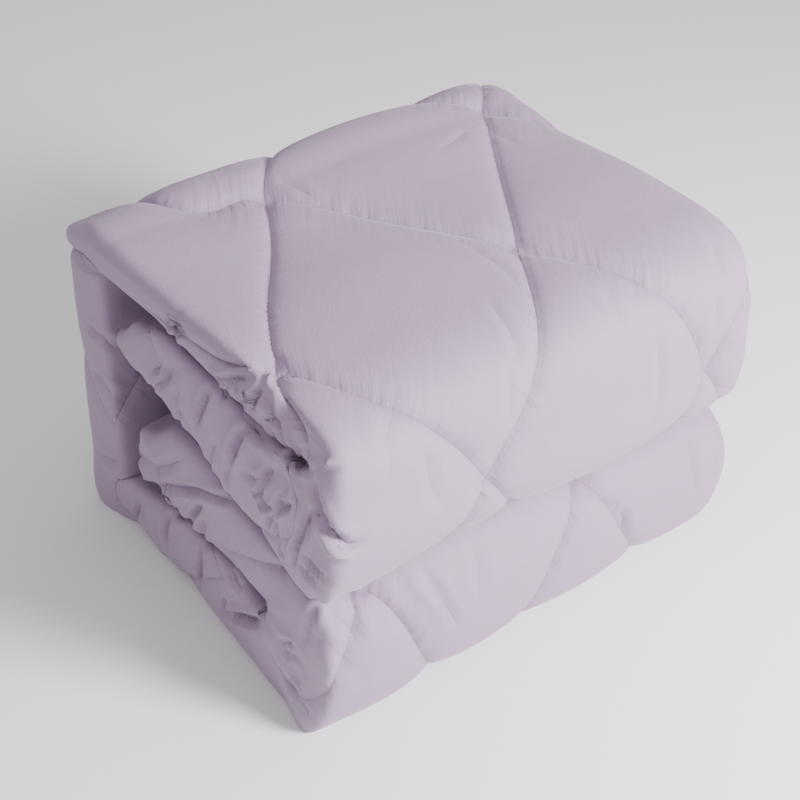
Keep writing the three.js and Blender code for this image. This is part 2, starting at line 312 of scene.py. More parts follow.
def skin_outlines(grid):
    """Per station: x, offset from the middle line, distance across the cloth, outerness."""
    lengths = band[:, ALONG]
    start, end = row_count(lengths[0]), row_count(lengths[-1])
    per_knot = grid["per_knot"]
    rows_at = np.arange(math.ceil(start * per_knot), math.floor(end * per_knot) + 1) / per_knot
    along = np.interp(rows_at, row_count(lengths), lengths)
    at = np.column_stack([np.interp(along, lengths, column) for column in band.T])
    half_length = BLOCK_LENGTH / 2
    first, last = -half_length + END_REACH["outer"], half_length - END_REACH["outer"]
    columns = EVEN_ROW_KNOT + KNOT_PITCH / 2 * np.arange(*COLUMN_RANGE) / grid["face"]
    x_face = columns[(columns > first + CLEARANCE) & (columns < last - CLEARANCE)]
    t_in = np.arange(1, grid["inner"]) / grid["inner"]
    x_in = (half_length - END_REACH["inner"]) * (1 - 2 * t_in)
    lines = []
    for one in at:
        outer, inner, left, right = one[4:8]
        reach_r, n_r, len_r = spread_evenly(
            *end_profile(outer, inner, right, END_ROUND["right"]), grid["right"])
        reach_l, n_l, len_l = spread_evenly(
            *end_profile(outer, inner, left, END_ROUND["left"]), grid["left"])
        reach_l, n_l, len_l = reach_l[::-1], n_l[::-1], len_l[::-1]
        x = np.concatenate([x_face, half_length - reach_r, x_in, reach_l - half_length])
        n = np.concatenate([0 * x_face + outer, n_r, 0 * x_in - inner, n_l])
        past_r = np.minimum(len_r, len_r[-1] - len_r)
        past_l = np.minimum(len_l, len_l[0] - len_l)
        wrap_r = np.minimum(half_length - END_REACH["outer"] + past_r, BLOCK_LENGTH)
        wrap_l = -half_length + END_REACH["outer"] - past_l
        across = np.concatenate([x_face, wrap_r, x_in, wrap_l])
        share_r, share_l = len_r / len_r[-1], len_l / len_l[0]
        outerness = np.concatenate([0 * x_face + 1, 1 - share_r**2, 0 * x_in, 1 - share_l**2])
        lines.append((x, n, across, outerness))
    x, n, across, outerness = (np.array(kind) for kind in zip(*lines))
    return {"at": at, "rows": rows_at, "x": x, "n": n, "across": across, "outer": outerness}

# %% [markdown]
# ## Seams that draw the cloth in
# On the real quilt the thread holds both cloths together, so the wadding swells between the seams
# and sinks along them. A cloth simulation with pinned seams could puff it up, but it leaves
# ridges beside the seams and flat middles. So every point is raised or sunk by its distance from
# the nearest seam and knot: a wide soft valley, a narrow furrow in it, and a round crown.

# %% Draw the cloth in along its seams
SEAM_DEPTH = 5.0           # the wide soft valley along a seam
SEAM_SPREAD = 22.0
LINE_DEPTH = 4.5           # the narrow furrow that the thread itself pulls
LINE_SPREAD = 5.0
KNOT_DEPTH = 6.0
KNOT_SPREAD = 20.0
CROWN = 5.0                # how much the middle of a diamond stands proud
ROW_PITCH = 255.0          # millimetres between rows of knots, on average
INNER_SHARE = 0.5          # the relief of the inner faces, as a share of the outer
WRAPPED_SHARE = 0.35       # and of the cloth that wraps round an end
WRAP_FADE = 30.0
slant = (KNOT_PITCH / 2) * ROW_PITCH / math.hypot(KNOT_PITCH / 2, ROW_PITCH)
print("the middle of a diamond is", round(slant), "mm from its seams")


def seam_distances(pitch, row):
    """How far a place is from each family of seams, from any seam, and from a knot."""
    falling = fold_to_line(pitch - row)      # 0 on a seam of one family
    rising = fold_to_line(pitch + row)       # 0 on a seam of the other
    seam_far = np.minimum(falling, rising) * slant
    knot_far = np.hypot(
        (falling + rising) / 2 * KNOT_PITCH / 2, (falling - rising) / 2 * ROW_PITCH)
    return falling, rising, seam_far, knot_far


def relief(pitch, row, outerness):
    """How far the padding stands out at each place, in millimetres."""
    falling, rising, seam_far, knot_far = seam_distances(pitch, row)
    valley = (SEAM_DEPTH * np.exp(-seam_far / SEAM_SPREAD)
              + LINE_DEPTH * np.exp(-seam_far / LINE_SPREAD))
    dimple = KNOT_DEPTH * np.exp(-((knot_far / KNOT_SPREAD) ** 2))
    crown = CROWN * np.sin(np.pi / 2 * falling) * np.sin(np.pi / 2 * rising)
    share = INNER_SHARE + (1 - INNER_SHARE) * outerness
    from_middle = np.abs(pitch * KNOT_PITCH / 2 + EVEN_ROW_KNOT)
    wrapped = smooth((from_middle - BLOCK_LENGTH / 2) / WRAP_FADE)
    return share * (1 - (1 - WRAPPED_SHARE) * wrapped) * (crown - valley - dimple)

# %% [markdown]
# ## Ends that spill out
# At the left end the layers don't lie as evenly as they do inside. The top layer thins to an
# edge, and the filling of the layers inside bulges into the room that it leaves. They could be
# sculpted, but a brush easily pushes one layer through the next. A smooth shift of heights close
# to that end moves the slits between the layers and can't make them cross.

# %% Let the left end spill out
SPILL_REACH = 150          # how far from the left end the layers move
SPILL = {                  # height: how far it moves up at the very end, in front and at the back
    "height": (0, 95, 150, 205, 255, 282, 300, 324, 354, 405),
    "front": (0, -2, -4, -8, 18, 34, 42, 40, 26, 0),
    "back": (0, -4, -2, 0, 0, 0, 14, 38, 26, 0),
}
SPILL_TURNS = (60, 140)    # Y between which the front heights give way to those at the back
FOLD_SHIFTS = (            # y, z, half width, half height, moves along y and z at the end
    (-135, 300, 105, 100, -40, 0),
    (-148, 95, 92, 85, 40, 0),
    (100, 208, 60, 45, 0, -26),
)
CORNER_PULLS = (           # place of a corner, how far it is pulled, and over what distance
    ((-285, -228, 8), (-8, 12, -10), 45),
    ((-288, 232, 10), (-6, 2, -10), 40),
    ((-284, 236, 400), (-1, 4, -13), 60),
)
print("the layers at the left end rise by up to", max(SPILL["front"]), "mm")


def spill(points):
    """Moves the layers near the left end, without letting them cross."""
    x, y, z = (points[..., k].copy() for k in range(3))
    near = smooth(1 - (x + BLOCK_LENGTH / 2) / SPILL_REACH)
    back = smooth((y - SPILL_TURNS[0]) / (SPILL_TURNS[1] - SPILL_TURNS[0]))
    front_rise = np.interp(z, SPILL["height"], SPILL["front"])
    back_rise = np.interp(z, SPILL["height"], SPILL["back"])
    rise = near * (front_rise * (1 - back) + back_rise * back)
    for at_y, at_z, wide, high, move_y, move_z in FOLD_SHIFTS:
        hat = near * smooth(1 - np.abs(y - at_y) / wide) * smooth(1 - np.abs(z - at_z) / high)
        y = y + hat * move_y
        rise = rise + hat * move_z
    moved = np.dstack([x, y, z + rise])
    for place, pull, reach in CORNER_PULLS:
        far = np.linalg.norm(moved - np.array(place), axis=2)
        moved = moved + np.exp(-((far / reach) ** 2))[..., None] * np.array(pull)
    moved[..., 2] = np.maximum(moved[..., 2], 0)
    return moved

# %% [markdown]
# ## Weight on the shelf
# A filled quilt sags under its own weight: its underside lies flat, and the slit between its
# halves isn't level. Gravity in a simulation could do that. Two small rules on the heights give
# the same look and come out alike on every run.

# %% Place the stations in space
PARTING_RISE = 14          # the slit between the halves rises to the left and sinks to the right
PARTING_HEIGHT = 190       # its height in the middle of the block
BLOCK_TOP = 403
UNDERSIDE = (-222, 228)    # the part of Y that lies on the shelf
PRESS = 4                  # cloth lower than this is pressed flat there


def place_skin(outlines):
    """The skin's points in millimetres."""
    at, x, n = outlines["at"], outlines["x"], outlines["n"]
    y = at[:, 0:1] + at[:, 2:3] * n
    z = at[:, 1:2] + at[:, 3:4] * n
    share = smooth(np.minimum(z / PARTING_HEIGHT, (BLOCK_TOP - z) / (BLOCK_TOP - PARTING_HEIGHT)))
    z = z - PARTING_RISE * share * x / (BLOCK_LENGTH / 2)
    pressed = (y > UNDERSIDE[0]) & (y < UNDERSIDE[1]) & (z < PRESS)
    z = np.where(pressed | (z < 0), 0, z)
    return np.dstack([x, y, z])


print("the underside lies flat for", UNDERSIDE[1] - UNDERSIDE[0], "mm")

# %% [markdown]
# ## The padded skin
# Now the pieces come together: the outlines in space, the spilled end, the pattern slid along
# the cloth, and the padding. Each step could be a modifier on the finished mesh. Working on the
# grid of points keeps the two counts of the pattern at hand for every step.

# %% Pad the skin
LAST_GAP = 1.001           # keeps a place inside the last gap between two rows of the grid
SLIDES_FROM = 0.75         # outerness from which the pattern begins to slide sideways
NOTHING = 1e-9             # keeps a length of zero out of a division


def surface_normals(points):
    """Outward directions on the closed grid, from its neighbours."""
    around = np.roll(points, -1, axis=1) - np.roll(points, 1, axis=1)
    down = np.gradient(points, axis=0)
    normal = np.cross(around, down)
    return normal / np.maximum(np.linalg.norm(normal, axis=2, keepdims=True), NOTHING)


def slide_along(points, down, around):
    """The points of a grid at fractional places, counted down its rows and round its columns."""
    down = np.clip(down, 0, len(points) - LAST_GAP)
    top, left = np.floor(down).astype(int), np.floor(around).astype(int)
    t, s = (down - top)[..., None], (around - left)[..., None]
    left, right = left % points.shape[1], (left + 1) % points.shape[1]
    upper = points[top, left] * (1 - s) + points[top, right] * s
    lower = points[top + 1, left] * (1 - s) + points[top + 1, right] * s
    return upper * (1 - t) + lower * t


def padded_skin(grid):
    """The skin with its padding, its directions, the two counts of the pattern, its outlines."""
    outlines = skin_outlines(grid)
    plain = place_skin(outlines)
    flat = plain.reshape(-1, 3)
    centre = (flat.min(0) + flat.max(0)) / 2
    plain[..., :2] -= centre[:2]
    plain = spill(plain)
    pitch = pitch_count(outlines["across"])
    row = outlines["rows"][:, None] + 0 * pitch
    drifting = smooth((outlines["outer"] - SLIDES_FROM) / (1 - SLIDES_FROM))
    at_pitch, at_row = pattern_places(pitch, row, drifting)
    step = np.gradient(pitch, axis=1)
    sideways = np.where(drifting > 0, (at_pitch - pitch) / np.where(step > 0, step, 1), 0)
    column = np.arange(pitch.shape[1]) + sideways
    plain = slide_along(plain, (at_row - outlines["rows"][0]) * grid["per_knot"], column)
    normals = surface_normals(plain)
    skin = plain + normals * relief(pitch, row, outlines["outer"])[..., None]
    skin[..., 2] = np.maximum(skin[..., 2], 0)
    return skin, normals, pitch, row, outlines


skin, normals, pitch, row, outlines = padded_skin(GRID)
print("skin grid:", skin.shape[:2], "box in mm:", skin.reshape(-1, 3).min(0).round(1),
      skin.reshape(-1, 3).max(0).round(1))

# %% [markdown]
# ## Creases and gathers
# Folding a filled cloth leaves creases that no rule predicts. The table follows the ones that
# can be seen: deep gathers where the left ends are squeezed together, long soft creases where
# the cloth turns over the front, and short ones beside the knots. They could be sculpted. As
# lines of points on the cloth, each with its depth, they can be moved one at a time. A depth
# below zero is a swelling.

# %% Table of creases
CREASES = {     # where: rows of (depth, half width, points on the cloth), all in millimetres
    "upper inner end": (
        (11.2, 4.4, ((-280, -35, 345), (-287, -30, 325), (-287, -2, 268))),
        (14.4, 5.3, ((-281, -101, 341), (-289, -91, 314), (-288, -67, 265))),
        (8, 4.4, ((-288, -67, 265), (-285, -58, 229), (-278, -60, 200))),
        (6.4, 4, ((-288, 21, 312), (-281, 37, 271), (-279, 43, 228))),
        (12.8, 4.8, (
            (-290, -151, 323), (-291, -136, 295), (-291, -131, 275), (-291, -140, 265),
            (-292, -156, 271)
        )),
        (8, 4, ((-292, -156, 271), (-292, -173, 290), (-294, -191, 308))),
        (8, 4, ((-292, -156, 271), (-292, -164, 289), (-292, -171, 306))),
        (6.4, 4, ((-292, -156, 271), (-291, -143, 248), (-282, -125, 218))),
        (8, 4, ((-291, -156, 269), (-287, -158, 227), (-289, -176, 206))),
        (6.4, 4, ((-249, 174, 183), (-287, 64, 286), (-288, 22, 329), (-280, 2, 347))),
        (6.4, 4, ((-245, 175, 197), (-287, 69, 302), (-288, 31, 335))),
        (4.8, 4, ((-286, 58, 292), (-288, 39, 319), (-287, 24, 338))),
        (4.8, 4.4, ((-288, -46, 284), (-287, -29, 251), (-282, -13, 217))),
        (4.8, 4.4, ((-290, -93, 279), (-290, -113, 283), (-291, -136, 298))),
    ),
    "end of the top layer": (
        (11.2, 4.4, (
            (-276, -125, 399), (-282, -141, 386), (-282, -153, 375), (-280, -167, 359),
            (-272, -171, 339), (-284, -211, 359)
        )),
        (9.6, 4.4, ((-277, -124, 399), (-282, -118, 385), (-279, -103, 354))),
        (8, 4, ((-280, -144, 392), (-281, -136, 363), (-279, -142, 341))),
        (6.4, 4, ((-280, -152, 390), (-282, -165, 367), (-271, -159, 339))),
        (8, 4.4, ((-279, -84, 343), (-280, -100, 341), (-282, -128, 340), (-282, -147, 341))),
        (6.4, 4.4, ((-279, -26, 346), (-283, -83, 383), (-274, -117, 400))),
        (6.4, 4, ((-278, 15, 406), (-286, 18, 396), (-284, 23, 377), (-275, 38, 350))),
        (6.4, 4, ((-282, -101, 388), (-283, -96, 369), (-280, -80, 342))),
        (6.4, 4, ((-284, -71, 372), (-279, -54, 344), (-285, -55, 335))),
    ),
    "left of the front bulge": (
        (11.2, 5.3, (
            (-284, -211, 359), (-286, -215, 352), (-287, -220, 342), (-288, -228, 324),
            (-288, -237, 310), (-284, -247, 301), (-271, -253, 289), (-253, -253, 287)
        )),
        (9.6, 4.8, ((-288, -221, 330), (-292, -210, 298), (-293, -197, 262), (-290, -181, 211))),
        (6.4, 4, ((-293, -196, 238), (-293, -213, 233), (-292, -234, 236))),
        (4.8, 4, ((-294, -206, 257), (-293, -223, 253), (-289, -245, 252))),
        (-4, 6, ((-291, -235, 289), (-284, -250, 286), (-266, -253, 275))),
    ),
    "lower inner end": (
        (8, 4.4, (
            (-280, 156, 76), (-290, 59, 143), (-290, -2, 183), (-282, -46, 200),
            (-287, -90, 228)
        )),
        (8, 4, ((-279, 38, 97), (-289, 9, 142), (-289, -9, 170))),
        (6.4, 4, ((-286, 23, 114), (-280, 57, 97), (-286, 58, 115))),
        (4.8, 4, ((-281, 10, 96), (-286, 2, 120), (-288, -10, 146))),
        (4.8, 5.3, ((-290, 103, 137), (-291, 57, 177), (-289, 18, 215))),
    ),
    "bottom layer end": (
        (9.6, 4.4, ((-284, 73, 92), (-291, 76, 62), (-291, 80, 34))),
        (9.6, 4.4, ((-280, 12, 97), (-289, 3, 73), (-287, 14, 17))),
        (8, 4, ((-290, -46, 55), (-291, -42, 34), (-291, -53, 36))),
        (14.4, 4.4, ((-291, -46, 31), (-293, -88, 63), (-293, -126, 90))),
        (6.4, 4, ((-279, -47, 99), (-285, -64, 93), (-286, -78, 94))),
        (6.4, 4.4, ((-290, 139, 64), (-291, 145, 44), (-283, 167, 6))),
    ),
    "front left corner": (
        (4, 5, ((-292, -232, 229), (-283, -207, 172), (-290, -201, 134), (-293, -198, 105))),
        (5, 4.5, ((-293, -199, 102), (-296, -190, 75), (-298, -187, 46))),
        (5, 4.5, ((-295, -160, 89), (-294, -176, 103), (-293, -190, 105))),
        (4, 4.5, ((-296, -165, 84), (-294, -183, 92), (-293, -197, 101))),
        (6, 5, ((-298, -175, 56), (-298, -185, 46), (-298, -198, 47))),
        (4, 4.5, ((-294, -200, 88), (-297, -197, 64), (-297, -203, 48))),
        (4, 4.5, ((-298, -201, 41), (-298, -212, 39), (-299, -220, 28))),
        (3, 4.5, ((-300, -196, 30), (-300, -210, 28), (-300, -213, 19))),
    ),
    "front of the lower packet": (
        (3, 8, ((-277, -207, 178), (-267, -218, 169), (-255, -228, 150), (-248, -239, 122))),
        (2, 7, ((-288, -245, 238), (-273, -243, 221), (-237, -213, 161))),
        (1.5, 7, ((-288, -203, 144), (-282, -233, 144), (-260, -240, 104))),
        (-2, 8, ((-178, -214, 176), (-170, -230, 158), (-160, -241, 131))),
        (3, 6, ((-166, -216, 175), (-160, -229, 162), (-152, -238, 144), (-123, -247, 76))),
        (3, 6, ((115, -239, 118), (126, -238, 80), (124, -241, 56))),
        (3.5, 7, ((232, -215, 163), (224, -239, 135), (232, -248, 76))),
        (3, 6, ((270, -228, 147), (266, -244, 117), (262, -247, 90))),
        (2, 8, ((-95, -222, 172), (-95, -241, 143), (-101, -247, 107))),
    ),
    "top": (
        (2.5, 5, ((-72, 171, 406), (-60, 139, 406), (-54, 107, 401))),
        (2, 6, ((18, -44, 404), (25, -91, 405), (25, -126, 402), (17, -152, 400))),
        (2, 6, ((-26, -138, 406), (-33, -182, 402), (-41, -213, 388), (-45, -228, 371))),
        (2, 6, ((-61, -217, 387), (-65, -233, 365), (-72, -241, 334))),
        (3, 7, (
            (126, -227, 373), (132, -244, 330), (141, -245, 292), (139, -248, 268),
            (124, -252, 234)
        )),
        (2.5, 6, ((246, -188, 402), (238, -214, 389), (240, -233, 364))),
        (2, 6, ((218, -233, 365), (220, -240, 344), (223, -242, 317))),
        (3, 4.5, ((239, -239, 345), (255, -239, 336), (271, -236, 328))),
        (1.8, 8, ((-157, -226, 368), (-177, -240, 350), (-172, -245, 307), (-151, -249, 260))),
        (1.5, 8, ((-184, -202, 389), (-218, -233, 378), (-222, -247, 329))),
        (2, 6, ((85, -193, 398), (87, -218, 387), (89, -234, 368))),
        (2, 5, ((195, 129, 405), (203, 102, 404), (205, 65, 405))),
        (1.5, 5, ((179, 129, 408), (145, 115, 409), (111, 107, 411))),
    ),
    "knots": (
        (-10, 10, ((-268, -155, 336), (-273, -173, 336), (-283, -190, 338))),
        (-6, 12, ((-282, -125, 340), (-283, -144, 339), (-285, -165, 338))),
        (-4, 3.5, ((-104, 144, 402), (-110, 125, 403))),
        (-4, 3.5, ((68, -75, 395), (72, -92, 392))),
        (-4, 3.5, ((196, 143, 407), (203, 127, 401))),
        (-5, 3.5, ((-253, -102, 393), (-276, -128, 399))),
        (-5, 4, ((-276, -229, 383), (-280, -227, 374))),
        (-3.5, 3.5, ((-105, -240, 261), (-91, -241, 246))),
        (-3, 3.5, ((109, -236, 127), (119, -239, 116))),
    ),
    "inside of the spine": (
        (5, 6, ((-298, 207, 287), (-294, 176, 279), (-280, 172, 260))),
        (4, 6, ((-298, 204, 222), (-296, 183, 210), (-289, 175, 190))),
        (4, 6, ((-299, 214, 85), (-297, 186, 93), (-286, 171, 105))),
    ),
}
print({where: len(rows_here) for where, rows_here in CREASES.items()})

# %% [markdown]
# ## Pressing the creases in
# A crease in thick soft cloth is a valley with a sharp middle and a low swelling on each side,
# and it fades out towards both ends. A painted height map could carry it, but it would stretch
# where the cloth turns. So the points of the skin are moved by their distance from each line.
# The points are too far apart for the sharp middle, so its distance is kept for the finish.

# %% Press the creases in
CREASE_SHOULDER = 0.4      # height of the swelling beside a crease, as a share of its depth
CREASE_TAPER = 0.3         # share of the length over which a crease fades out
CREASE_END = 0.1           # depth that is left at its very end
CREASE_SHARPNESS = 1.4     # 2 is a round valley, 1 a sharp one
CREASE_SPAN = 4            # a crease is worked out this many half widths around its line
SHOULDER_PLACE = 2         # where the swelling is highest, in half widths
SHOULDER_WIDTH = 0.9
CORE_REACH = {"left end": 4.5, "faces": 9.0}     # how far from a crease the finish sharpens it
CROWDED = 1.7              # closer than this many reaches, two creases are left to the relief
LEFT_END = -240            # X up to which the left end goes
SHORTEST = 1e-6            # keeps a step without length out of a division


def distance_to_line(points, normals, line):
    """Per point: distance from a line of points, share of its length there, and how far to
    one side of it, measured within the surface."""
    steps = np.diff(line, axis=0)
    lengths = np.linalg.norm(steps, axis=1)
    starts = np.concatenate([[0], np.cumsum(lengths)])
    far = np.full(len(points), np.inf)
    share = np.zeros(len(points))
    side = np.zeros(len(points))
    for k, step in enumerate(steps):
        t = np.clip((points - line[k]) @ step / max(lengths[k] ** 2, SHORTEST), 0, 1)
        apart = points - line[k] - t[:, None] * step
        d = np.linalg.norm(apart, axis=1)
        nearer = d < far
        far[nearer] = d[nearer]
        share[nearer] = ((starts[k] + t * lengths[k]) / starts[-1])[nearer]
        across = (np.cross(apart, step) * normals).sum(1) / max(lengths[k], SHORTEST)
        side[nearer] = across[nearer]
    return far, share, side


def crease_relief(points, normals):
    """How far every point rises or sinks because of the creases. For the finish: the nearest
    crease's distance, negative on one side of it, and its depth there."""
    result = np.zeros(points.shape[:2])
    nearest = np.full(points.shape[:2], np.inf)
    core = np.where(points[..., 0] < LEFT_END, CORE_REACH["left end"], CORE_REACH["faces"])
    side = core.copy()
    deep = np.zeros(points.shape[:2])
    crowd = np.zeros(points.shape[:2], int)
    for rows_here in CREASES.values():
        for depth, width, line in rows_here:
            line = np.array(line, float)
            reach = CREASE_SPAN * width
            near = np.all((points > line.min(0) - reach) & (points < line.max(0) + reach), axis=2)
            far, share, across = distance_to_line(points[near], normals[near], line)
            fade = smooth(np.minimum(share, 1 - share) / CREASE_TAPER)
            valley = np.exp(-((far / width) ** CREASE_SHARPNESS))
            from_shoulder = (far - SHOULDER_PLACE * width) / (SHOULDER_WIDTH * width)
            shoulder = CREASE_SHOULDER * np.exp(-(from_shoulder ** 2))
            result[near] -= depth * (CREASE_END + (1 - CREASE_END) * fade) * (valley - shoulder)
            closer = far < nearest[near]
            nearest[near] = np.where(closer, far, nearest[near])
            side[near] = np.where(closer, across, side[near])
            deep[near] = np.where(closer, depth * fade, deep[near])
            crowd[near] += far < core[near] * CROWDED
    deep[(nearest > core) | (crowd > 1)] = 0
    return result, np.clip(side, -core, core), deep


creased, crease_side, crease_deep = crease_relief(skin, normals)
skin = skin + normals * creased[..., None]
skin[..., 2] = np.maximum(skin[..., 2], 0)
print("creases:", sum(len(rows_here) for rows_here in CREASES.values()), "deepest",
      creased.min().round(1), "mm")

# %% [markdown]
# ## From points to faces
# The left end shows the finest puckers, so every station has points there. On the wide faces
# every second station is enough, and inside the block every fourth. A modifier could thin the
# mesh afterwards, but it would also cut across the seams. Choosing the faces here keeps them.

# %% Make the mesh
SHOWN_ROWS = (0.6, 8.4)    # rows of knots between which the outer face can be seen
STRIP_FACE = 12            # columns of the outer face that are as fine as the left end
BLOCK_ROWS = 4             # stations in one block, which a hidden face spans in one step
SHOWN_STEP = 2             # stations that a shown face spans


def mesh_faces(rows_at, n_around, strip):
    """Faces over the grid, coarser where less shows. strip says which column gaps stay fine."""
    count = (len(rows_at) - 1) // BLOCK_ROWS * BLOCK_ROWS
    starts = rows_at[:count:BLOCK_ROWS]
    shown = (starts > SHOWN_ROWS[0]) & (starts < SHOWN_ROWS[1])
    faces = []
    for block, is_shown in enumerate(shown):
        base = block * BLOCK_ROWS
        wide = SHOWN_STEP if is_shown else BLOCK_ROWS
        step = np.where(strip, 1, wide)
        for c in range(n_around):
            d = (c + 1) % n_around
            gap = step[c]
            left_gap = min(gap, step[c - 1])
            right_gap = min(gap, step[d])
            for i in range(base, base + BLOCK_ROWS, gap):
                left = [r * n_around + c for r in range(i, i + gap + 1, left_gap)]
                right = [r * n_around + d for r in range(i, i + gap + 1, right_gap)]
                faces.append(left + right[::-1])
    return faces, count


n_around = skin.shape[1]
in_left_end = np.arange(n_around) >= n_around - GRID["left"] - 1
strip = in_left_end | (np.arange(n_around) < STRIP_FACE)
faces, last_row = mesh_faces(outlines["rows"], n_around, strip)
print("faces before the tips:", len(faces))

# %% Join the points to one closed mesh
def split_along_seams(faces, pitch, row):
    """Cuts each four-cornered face along the diagonal that runs with the nearest seam."""
    p, q = pitch.ravel(), row.ravel()
    result = []
    for face in faces:
        if len(face) != 4:
            result.append(face)
            continue
        a, b, c, d = face
        mid_p, mid_q = (p[a] + p[c]) / 2, (q[a] + q[c]) / 2
        on_falling = fold_to_line(mid_p - mid_q) < fold_to_line(mid_p + mid_q)
        # a is the low corner of both counts, c the high corner of both
        result += [[a, b, c], [a, c, d]] if on_falling else [[a, b, d], [b, c, d]]
    return result


def skin_object(name, points, pitch, row, marks, faces, last_row):
    """One closed mesh of the used points, with the knot counts as its UV map."""
    around = points.shape[1]
    used = np.unique(np.concatenate([np.array(face) for face in faces]))
    tips = [[v for v in used if v < around], [v for v in used if v // around == last_row]]
    faces = faces + [tips[0][::-1], tips[1]]
    new_index = np.full(points.shape[0] * around, -1)
    new_index[used] = np.arange(len(used))
    mesh = bpy.data.meshes.new(name)
    kept = points.reshape(-1, 3)[used] * MM
    mesh.from_pydata(kept.tolist(), [], [new_index[face].tolist() for face in faces])
    counts = mesh.uv_layers.new(name="knot_count")
    corner = np.empty(len(mesh.loops), np.int32)
    mesh.loops.foreach_get("vertex_index", corner)
    uv = np.column_stack([pitch.ravel()[used], row.ravel()[used]])[corner]
    counts.data.foreach_set("uv", uv.astype(np.float32).ravel())
    for mark, values in marks.items():
        layer = mesh.attributes.new(mark, "FLOAT", "POINT")
        layer.data.foreach_set("value", values.ravel()[used].astype(np.float32))
    made = bpy.data.objects.new(name, mesh)
    bpy.context.scene.collection.objects.link(made)
    bpy.ops.object.select_all(action="DESELECT")
    made.select_set(True)
    bpy.context.view_layer.objects.active = made
    bpy.ops.object.mode_set(mode="EDIT")
    bpy.ops.mesh.select_all(action="SELECT")
    bpy.ops.mesh.normals_make_consistent(inside=False)
    bpy.ops.object.mode_set(mode="OBJECT")
    bpy.ops.object.shade_smooth()
    return made


marks = {"crease_side": crease_side, "crease_deep": crease_deep}
split = split_along_seams(faces, pitch, row)
cloth = skin_object("quilt_cloth", skin, pitch, row, marks, split, last_row)
mesh = cloth.data
mesh.calc_loop_triangles()
print("quilt skin:", len(mesh.vertices), "points and", len(mesh.loop_triangles), "triangles")

# %% [markdown]
# ## Smooth cotton
# The cover is a dense smooth cotton in a pale mauve, with the faint gleam of new bedding. The
# knot counts in the UV map tell the finish how far each place is from a seam, so the thread
# line stays sharp, and fine gathers run out from it at right angles. The line is a little darker
# than the cotton: the thread, with painted shade of the seam groove on it. A picture of woven
# cloth could be laid on instead, but it would not know where the seams are. Two small helpers
# keep the wiring of the finish short.

# %% A small kit for the finish
def node(tree, kind, **sockets):
    """A new node, with each named socket linked or set to a value."""
    made = tree.nodes.new(kind)
    for name, value in sockets.items():
        if isinstance(value, bpy.types.NodeSocket):
            tree.links.new(value, made.inputs[name])
        else:
            made.inputs[name].default_value = value
    return made


def math_node(tree, operation, first, second=0.0):
    """The result of one step of arithmetic."""
    made = tree.nodes.new("ShaderNodeMath")
    made.operation = operation
    for socket, value in zip(made.inputs, (first, second)):
        if isinstance(value, bpy.types.NodeSocket):
            tree.links.new(value, socket)
        else:
            socket.default_value = value
    return made.outputs[0]


print("helpers ready:", node.__name__, "and", math_node.__name__)

# %% [markdown]
# ## Thread and gathers
# A seam in soft cotton shows a fine line of thread, with small gathers standing across it. They
# could be modelled, but that takes far more points than the whole quilt has. A bump height that
# is worked out from the knot counts gives both, and follows the seams wherever they slide.

# %% Seams and gathers in the finish
GATHERS_PER_KNOT = 9.0     # how close the fine gathers stand, counted between two knots
GATHER_STRETCH = 1.3       # how long each one is drawn, in the same count
GATHER_REACH = 0.16        # how far they run out from a seam, in rows
THREAD_REACH = 0.011       # half width of the thread line, in rows
FAMILY_SEEDS = (0.0, 40.0)                  # so the gathers of the two families differ
NOISE_MIDDLE = 0.5         # what the noise swings around


def seam_group():
    """Node group: a height for the gathers and the thread line, and a mask for the line."""
    tree = bpy.data.node_groups.new("seams_and_gathers", "ShaderNodeTree")
    tree.interface.new_socket("Count", in_out="INPUT", socket_type="NodeSocketVector")
    tree.interface.new_socket("Height", in_out="OUTPUT", socket_type="NodeSocketFloat")
    tree.interface.new_socket("Line", in_out="OUTPUT", socket_type="NodeSocketFloat")
    start = tree.nodes.new("NodeGroupInput")
    end = tree.nodes.new("NodeGroupOutput")
    split = node(tree, "ShaderNodeSeparateXYZ", Vector=start.outputs["Count"])
    p, q = split.outputs["X"], split.outputs["Y"]
    minus = math_node(tree, "SUBTRACT", p, q)
    plus = math_node(tree, "ADD", p, q)
    height, line = None, None
    for off, on, seed in zip((minus, plus), (plus, minus), FAMILY_SEEDS):
        far = math_node(tree, "PINGPONG", off, 1.0)
        inked = math_node(tree, "MULTIPLY", off, GATHER_STRETCH)
        strung = math_node(tree, "MULTIPLY", on, GATHERS_PER_KNOT)
        spot = node(tree, "ShaderNodeCombineXYZ", X=strung, Y=inked, Z=seed)
        noise = node(tree, "ShaderNodeTexNoise", Vector=spot.outputs[0], Scale=1.0, Detail=2.0)
        near = math_node(tree, "DIVIDE", far, -GATHER_REACH)
        near = math_node(tree, "EXPONENT", near)
        wave = math_node(tree, "SUBTRACT", noise.outputs[0], NOISE_MIDDLE)
        gather = math_node(tree, "MULTIPLY", wave, near)
        thread = math_node(tree, "EXPONENT", math_node(tree, "DIVIDE", far, -THREAD_REACH))
        height = gather if height is None else math_node(tree, "ADD", height, gather)
        line = thread if line is None else math_node(tree, "MAXIMUM", line, thread)
    tree.links.new(height, end.inputs["Height"])
    tree.links.new(line, end.inputs["Line"])
    return tree


seam_finish = seam_group()
print("the seam group has", len(seam_finish.nodes), "nodes")

# %% [markdown]
# ## The mauve cotton
# The cloth itself is matt, with a soft sheen where it turns away. Its weave is too fine to see,
# so a faint grain and a slower unevenness stand for it. The sharp middles of the creases are
# added here too. A photographed cloth could give the same look from close by, but worked-out
# bumps need no picture and look right at any distance.

